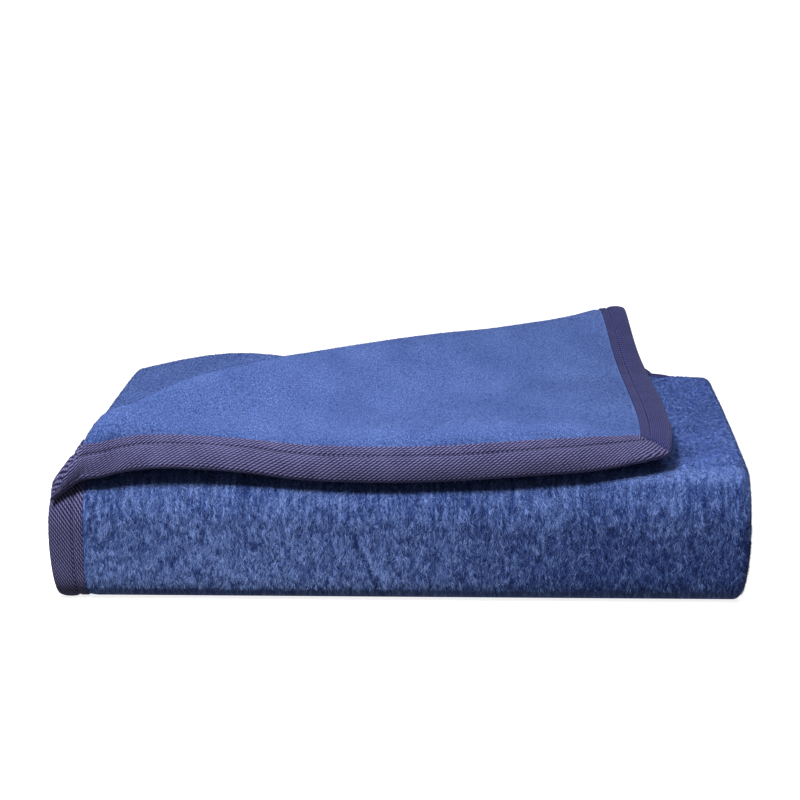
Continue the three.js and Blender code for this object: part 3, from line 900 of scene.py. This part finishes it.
def nap_sites(surface, side, chosen, fibres, random):
    """Random places on some of the cloth's faces, with their directions."""
    faces = surface["faces"][chosen]
    points = surface["points"] + surface["normals"] * surface["half"] * side
    corners = points[faces]
    diagonals = (corners[:, 2] - corners[:, 0], corners[:, 3] - corners[:, 1])
    area = np.linalg.norm(np.cross(*diagonals), axis=1)
    behind = ease((corners[:, 0, 1] - THINNING_BEGIN) / THINNING_REACH)
    kept = area / 2 * (1 - fibres.thinning * behind)
    count = int(fibres.density * kept.sum())
    pick = random.choice(len(faces), count, p=kept / kept.sum())
    a, b = random.random((2, count, 1))
    weights = ((1 - a) * (1 - b), (1 - a) * b, a * b, a * (1 - b))
    corners = corners[pick]
    normals = surface["normals"][faces[pick]]
    place = sum(weight * corners[:, k] for k, weight in enumerate(weights))
    normal = unit(sum(weight * normals[:, k] for k, weight in enumerate(weights))) * side
    along = unit(corners[:, 1] + corners[:, 2] - corners[:, 0] - corners[:, 3])
    across = np.cross(along, normal)
    return place, normal, along, across


def painted_shade_tone(place):
    """How much darker the nap is painted along the lines: painted shade where it parts or is
    pressed in.
    """
    tone = np.zeros(len(place))
    for begin, end, reach, depth in PAINTED_SHADE_LINES:
        line = np.subtract(end, begin)
        share = np.clip((place - begin) @ line / max(line @ line, 1e-9), 0, 1)
        off = np.linalg.norm(place - begin - share[:, None] * line, axis=1)
        tone += depth * np.exp(-(off / reach) ** 2)
    return tone


def nap_tone(place, normal, clump, tilt, random):
    """Each fibre's tone, from 0, dark, to 1, light, with painted light and shade added."""
    # Painted light where a fibre faces up, and painted shade where it faces the front
    up_painted_light = tilt[0] * ease((normal[:, 2] - UPWARD_FROM) / (1 - UPWARD_FROM))
    front_painted_shade = tilt[1] * np.maximum(0, -normal[:, 1] - FRONTWARD_FROM)
    # Painted light low on the front, and painted shade towards its lower right
    low_painted_light = LOW_PAINTED_LIGHT * ease(1 - place[:, 2] / LOW_PAINTED_LIGHT_HEIGHT)
    rightward = ease((place[:, 0] - RIGHT_PAINTED_SHADE_BEGIN) / RIGHT_PAINTED_SHADE_REACH)
    right_painted_shade = RIGHT_PAINTED_SHADE * rightward * ease(1 - place[:, 2] / RIGHT_PAINTED_SHADE_HEIGHT)
    painted_light_and_shade = up_painted_light - front_painted_shade + low_painted_light - right_painted_shade - painted_shade_tone(place)
    clumped = STREAK_CONTRAST * (1 - up_painted_light) * (clump - 0.5)
    own = random.normal(0, FIBRE_CONTRAST, len(place))
    return np.clip(0.5 + clumped + painted_light_and_shade + own, 0, 1)


def around_one(share, spread):
    """A factor from a share of 0 to 1, so that a half leaves things as they are."""
    return 1 + spread * (share - 0.5)


def build_nap(name, sites, fibres, seed):
    """Fibres as thin triangles. Streaks share a tone and bend the same way."""
    place, normal, along, across = sites
    random = np.random.default_rng(seed)
    count = len(place)
    u, v = place[:, 0], place[:, 1] - place[:, 2]
    cell_u, cell_v = fibres.streak
    clump = FINE_WEIGHT * soft_noise(u, v, cell_u, cell_v, random)
    clump += COARSE_WEIGHT * soft_noise(u, v, COARSE_SIZE * cell_u, COARSE_SIZE * cell_v, random)
    sway = soft_noise(u, v, cell_u * SWAY_SIZE, cell_v, random) - 0.5
    swirl = STREAK_SWAY * sway + random.normal(0, fibres.curl, count)
    way = along * np.cos(swirl)[:, None] + across * np.sin(swirl)[:, None]
    rise = fibres.lean + random.normal(0, LEAN_SPREAD, count)
    ahead = way * np.cos(rise)[:, None] + normal * np.sin(rise)[:, None]
    length = fibres.length * around_one(random.random(count), LENGTH_SPREAD)
    tip = place + ahead * (length * around_one(clump, STREAK_SPREAD))[:, None]
    roll = random.normal(0, ROLL_SPREAD, count)[:, None]
    flat = np.cross(way, normal) * np.cos(roll) + normal * np.sin(roll)
    root = place - normal * ROOT_DEPTH
    half = (fibres.width / 2 * around_one(random.random(count), WIDTH_SPREAD))[:, None]
    points = np.stack((root - flat * half, root + flat * half, tip), axis=1).reshape(-1, 3)
    faces = np.arange(3 * count).reshape(-1, 3)
    uv = np.repeat(np.stack((u, v), axis=-1), 3, axis=0)
    piece = make_mesh(name, points, [faces], uv, smooth=False)
    tone = nap_tone(place, normal, clump, fibres.tilt, random)
    layer = piece.data.attributes.new("tone", "FLOAT", "FACE")
    layer.data.foreach_set("value", tone.astype(np.float32))
    return piece


# The sewing: a row of short stitches along each tape's seam, on both faces

def stitch_places(middle):
    """Each stitch's middle, its direction and the way that it lifts from the cloth."""
    at = SEAM / TAPE_WIDTH * (len(WIDTH_STEPS) - 1)
    column, share = int(at), at - int(at)
    line = middle[:, column] * (1 - share) + middle[:, column + 1] * share
    gone = np.concatenate(([0], np.cumsum(np.linalg.norm(np.diff(line, axis=0), axis=-1))))
    at = np.arange(STITCH_PITCH, gone[-1] - STITCH_PITCH, STITCH_PITCH)
    place = along_line(at, gone, line)
    ahead = along_line(at + STITCH_AHEAD, gone, line)
    up = unit(along_line(at, gone, tape_normals(middle)[:, column]))
    way = unit(ahead - place)
    faces = [place + side * up * (TAPE_FACE - STITCH_SINK) for side in (1, -1)]
    return np.concatenate([np.stack((on_face, way, up), axis=1) for on_face in faces])


def build_stitches(name, middles):
    """All the stitches as one mesh of small bars with pointed ends."""
    stitches = np.concatenate([stitch_places(middle) for middle in middles])
    place, way, up = stitches.transpose(1, 0, 2)
    ahead = way * STITCH_LENGTH / 2
    aside = np.cross(way, up) * STITCH_THICKNESS / 2
    lift = up * STITCH_THICKNESS / 2
    ring = (place + aside, place + lift, place - aside, place - lift)
    points = np.stack((place - ahead, *ring, place + ahead), axis=1)
    sides, corners = len(ring), points.shape[1]
    fan = [(0, 1 + k, 1 + (k + 1) % sides) for k in range(sides)]
    fan += [(corners - 1, 1 + (k + 1) % sides, 1 + k) for k in range(sides)]
    firsts = np.arange(len(place))[:, None, None] * corners
    faces = (firsts + np.array(fan)).reshape(-1, 3)
    return make_mesh(name, points.reshape(-1, 3), [faces])


# Materials

def linear(red, green, blue):
    """A colour given as 0 to 255 values of a display, as Blender's linear colour."""
    values = np.array((red, green, blue)) / 255
    light = np.where(values < 0.04, values / 12.92, ((values + 0.055) / 1.055) ** 2.4)
    return tuple(float(value) for value in light)


def set_inputs(node, **values):
    """Values on a node's sockets, named as they are but with _ for a space."""
    for name, value in values.items():
        node.inputs[name.replace("_", " ")].default_value = value


class Nodes:
    """A material's node tree, with short calls for the nodes that the looks need."""

    def __init__(self, name):
        self.material = bpy.data.materials.new(name)
        self.material.use_nodes = True
        self.tree = self.material.node_tree
        self.shader = self.tree.nodes["Principled BSDF"]

    def add(self, kind, **settings):
        node = self.tree.nodes.new("ShaderNode" + kind)
        for key, value in settings.items():
            setattr(node, key, value)
        return node

    def link(self, source, target):
        if isinstance(source, (int, float)):
            target.default_value = source
        else:
            self.tree.links.new(source, target)

    def scaled(self, kind, output, scale):
        mapping = self.add("Mapping")
        set_inputs(mapping, Scale=scale)
        self.link(self.add(kind).outputs[output], mapping.inputs[0])
        return mapping.outputs[0]

    def uv(self, scale_u, scale_v):
        return self.scaled("UVMap", "UV", (scale_u, scale_v, 1))

    def noise(self, vector, detail, roughness=0.5, distortion=0.0):
        node = self.add("TexNoise")
        self.link(vector, node.inputs["Vector"])
        set_inputs(node, Scale=1, Detail=detail, Roughness=roughness, Distortion=distortion)
        return node.outputs[0]

    def math(self, operation, first, second=0.0):
        node = self.add("Math", operation=operation)
        self.link(first, node.inputs[0])
        self.link(second, node.inputs[1])
        return node.outputs[0]

    def weigh(self, *parts):
        """The sum of values, each with its weight."""
        total = None
        for value, weight in parts:
            part = self.math("MULTIPLY", value, weight)
            total = part if total is None else self.math("ADD", total, part)
        return total

    def wave(self, value, pitch):
        """Rounded ridges, one to each pitch in millimetres of a value in metres."""
        phase = self.math("MULTIPLY", value, math.pi * METRE / pitch)
        return self.math("ABSOLUTE", self.math("SINE", phase))

    def ramp(self, value, places, colours):
        """A colour for each value, from three colours at three places."""
        node = self.add("ValToRGB")
        self.link(value, node.inputs[0])
        elements = node.color_ramp.elements
        elements.new(0.5)
        for element, position, colour in zip(elements, places, colours):
            element.position = position
            element.color = (*colour, 1)
        return node.outputs[0]

    def bump(self, height, distance):
        node = self.add("Bump")
        set_inputs(node, Strength=1, Distance=distance)
        self.link(height, node.inputs["Height"])
        self.link(node.outputs[0], self.shader.inputs["Normal"])


# Each surface's dark, middle and light colours, and the tint of its sheen
NAPPED_BLUES = (linear(20, 33, 88), linear(69, 94, 160), linear(146, 174, 238))
BACK_BLUES = (linear(32, 48, 104), linear(80, 105, 170), linear(138, 163, 222))
# The tapes' dark tone is painted shade in the grooves between ribs and between beads
TAPE_TONES = (linear(7, 6, 22), linear(42, 41, 79), linear(122, 119, 166))
# The ends' tapes: the sides' twill painted darker and bluer, as painted shade
SHADED_END_TAPE_TONES = (linear(5, 5, 22), linear(31, 33, 74), linear(78, 80, 136))
CLOTH_SHEEN = linear(150, 175, 235)
TAPE_SHEEN = linear(170, 170, 210)


def finish_cloth(look, colour, sheen, sheen_tint):
    """A dull, slightly downy surface of a colour."""
    look.link(colour, look.shader.inputs["Base Color"])
    set_inputs(look.shader, Roughness=0.95, Specular_IOR_Level=0.1)
    set_inputs(look.shader, Sheen_Weight=sheen, Sheen_Roughness=0.5, Sheen_Tint=(*sheen_tint, 1))
    return look.material


def cloth_material(name, blues, streak, fine, relief):
    """The cloth under its fibres: felted patches of lighter and darker blue.

    The streak and the fine grain are in cells for each metre across and along.
    """
    look = Nodes(name)
    felt = look.noise(look.uv(*streak), detail=3, roughness=0.6, distortion=0.5)
    grain = look.noise(look.uv(*fine), detail=2)
    patch = look.noise(look.uv(22, 15), detail=2)
    mixed = look.weigh((felt, 0.55), (grain, 0.33), (patch, 0.12))
    look.bump(mixed, relief)
    return finish_cloth(look, look.ramp(mixed, (0.36, 0.52, 0.7), blues), 0.2, CLOTH_SHEEN)


def nap_material(name, blues):
    """Fibres: each has its own tone, and broad patches lie lighter or darker."""
    look = Nodes(name)
    # The tone attribute carries the fibres' painted light and shade as well as their own tone
    tone = look.add("Attribute", attribute_name="tone").outputs["Fac"]
    patch = look.noise(look.uv(24, 16), detail=2)
    mixed = look.weigh((tone, 0.86), (patch, 0.14))
    return finish_cloth(look, look.ramp(mixed, (0.2, 0.5, 0.85), blues), 0.2, CLOTH_SHEEN)


def tape_material(name, tones):
    """The binding: dusty twill whose ribs follow the modelled ones, of plied yarn, with painted
    shade in the grooves between its ribs and between the beads of its yarn.
    """
    look = Nodes(name)
    place = look.add("SeparateXYZ")
    look.link(look.uv(1, 1), place.inputs[0])
    length, girth = place.outputs[0], place.outputs[1]
    rib_relief_and_shade = look.wave(look.math("ADD", length, look.math("MULTIPLY", girth, RIB_SLOPE)), RIB_PITCH)
    bead_relief_and_shade = look.wave(girth, BEAD_PITCH)
    yarn = look.noise(look.uv(1300, 800), detail=2, distortion=0.4)
    patch = look.noise(look.uv(60, 60), detail=3)
    mixed = look.weigh((rib_relief_and_shade, 0.42), (bead_relief_and_shade, 0.2), (yarn, 0.3), (patch, 0.15))
    look.bump(mixed, 0.0006)
    return finish_cloth(look, look.ramp(mixed, (0.3, 0.56, 0.8), tones), 0.12, TAPE_SHEEN)


def thread_material():
    """Sewing thread: its twist as fine darker and lighter flecks."""
    look = Nodes("sewing_thread")
    place = look.scaled("TexCoord", "Object", (2600, 2600, 2600))
    twist = look.noise(place, detail=1)
    return finish_cloth(look, look.ramp(twist, (0.3, 0.5, 0.7), TAPE_TONES), 0.1, TAPE_SHEEN)


# The stage

def build_floor():
    """A pale floor that the camera sees bright, but that throws no light on the pack."""
    bpy.ops.mesh.primitive_plane_add(size=FLOOR_SIZE, location=(0, 0, 0))
    floor = bpy.context.object
    floor.name = "floor"
    look = Nodes("pale_floor")
    set_inputs(look.shader, Base_Color=(0.6, 0.6, 0.6, 1), Roughness=0.9)
    set_inputs(look.shader, Emission_Color=(1, 1, 1, 1), Emission_Strength=0.85)
    floor.data.materials.append(look.material)
    floor.visible_diffuse = False


def add_light(name, kind, power, way):
    """A light that shines along one way."""
    data = bpy.data.lights.new(name, kind)
    data.energy = power
    light = add_object(name, data)
    light.rotation_euler = Vector(way).to_track_quat("-Z", "Y").to_euler()
    return light


def build_light():
    """The square light faces the pack's middle."""
    key = add_light("key", "AREA", KEY_POWER, -Vector(KEY_PLACE))
    key.data.size = KEY_SIZE
    key.location = KEY_PLACE
    rim = add_light("rim", "SUN", RIM_POWER, RIM_WAY)
    rim.data.angle = math.radians(RIM_SOFTNESS)
    world = bpy.data.worlds.new("studio")
    world.use_nodes = True
    background = world.node_tree.nodes["Background"]
    set_inputs(background, Color=(1, 1, 1, 1), Strength=ROOM_POWER)
    bpy.context.scene.world = world


def build_camera():
    data = bpy.data.cameras.new("camera")
    data.lens = LENS
    data.sensor_width = SENSOR
    camera = add_object("camera", data)
    camera.location = Vector(CAMERA_PLACE) / METRE
    turn = (Matrix.Rotation(CAMERA_YAW, 3, "Z")
            @ Matrix.Rotation(RIGHT_ANGLE - CAMERA_PITCH, 3, "X")
            @ Matrix.Rotation(CAMERA_ROLL, 3, "Z"))
    camera.rotation_euler = turn.to_euler()
    bpy.context.scene.camera = camera


# The pieces, each with its material and its body

def add_cloth():
    cloth, surface = build_cloth("blanket")
    front = cloth_material("napped_cotton", NAPPED_BLUES, (420, 85), (1500, 420), 0.001)
    back = cloth_material("cotton_back", BACK_BLUES, (900, 620), (1800, 1500), 0.0004)
    cloth.data.materials.append(front)
    cloth.data.materials.append(back)
    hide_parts("blanket_cloth")
    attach(cloth, "root")
    return cloth, surface


def add_trim():
    """The four tapes and their stitches. The ends' tapes are painted darker than the sides', as
    shade.
    """
    side_twill = tape_material("twill_tape", TAPE_TONES)
    shaded_end_twill = tape_material("twill_tape_end_painted_shade", SHADED_END_TAPE_TONES)
    tapes = {
        "side_outer": (side_outer_middle(), side_twill),
        "end_top": (end_top_middle(), shaded_end_twill),
        "side_inner": (side_inner_middle(), side_twill),
        "end_inner": (end_inner_middle(), shaded_end_twill),
    }
    trim = []
    for tape_name, (middle, twill) in tapes.items():
        tape = build_tape(f"tape_{tape_name}", middle)
        tape.data.materials.append(twill)
        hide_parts(f"binding_{tape_name}")
        trim.append(tape)
    stitches = build_stitches("stitches", [middle for middle, twill in tapes.values()])
    stitches.data.materials.append(thread_material())
    trim.append(stitches)
    for piece in trim:
        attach(piece, "root")
    return trim


def add_naps(cloth, surface):
    """Nap wherever the cloth shows: on its napped side, and on its other, smoother side."""
    tree = BVHTree.FromObject(cloth, bpy.context.evaluated_depsgraph_get())
    napped, smooth = (open_faces(tree, surface, side) & surface["bare"] for side in (1, -1))
    in_front = surface["points"][surface["faces"]].mean(axis=1)[:, 1] < FRONT_DEPTH
    turned = surface["turned"]
    stretches = (
        ("nap_front", 1, napped & in_front, NAPPED_FIBRES, NAPPED_BLUES),
        ("nap_rest", 1, napped & ~in_front, NAPPED_FIBRES, NAPPED_BLUES),
        ("nap_turned", -1, smooth & turned, TURNED_FIBRES, BACK_BLUES),
        ("nap_back", -1, smooth & ~turned, BACK_FIBRES, BACK_BLUES),
    )
    naps = []
    for seed, (name, side, chosen, fibres, blues) in enumerate(stretches):
        random = np.random.default_rng(100 + seed)
        sites = nap_sites(surface, side, chosen, fibres, random)
        nap = build_nap(name, sites, fibres, seed)
        nap.data.materials.append(nap_material(name, blues))
        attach(nap, "root")
        naps.append(nap)
    return naps


build_camera()
build_floor()
build_light()
cloth, surface = add_cloth()
trim = add_trim()
naps = add_naps(cloth, surface)

bpy.context.scene.view_settings.view_transform = "Standard"
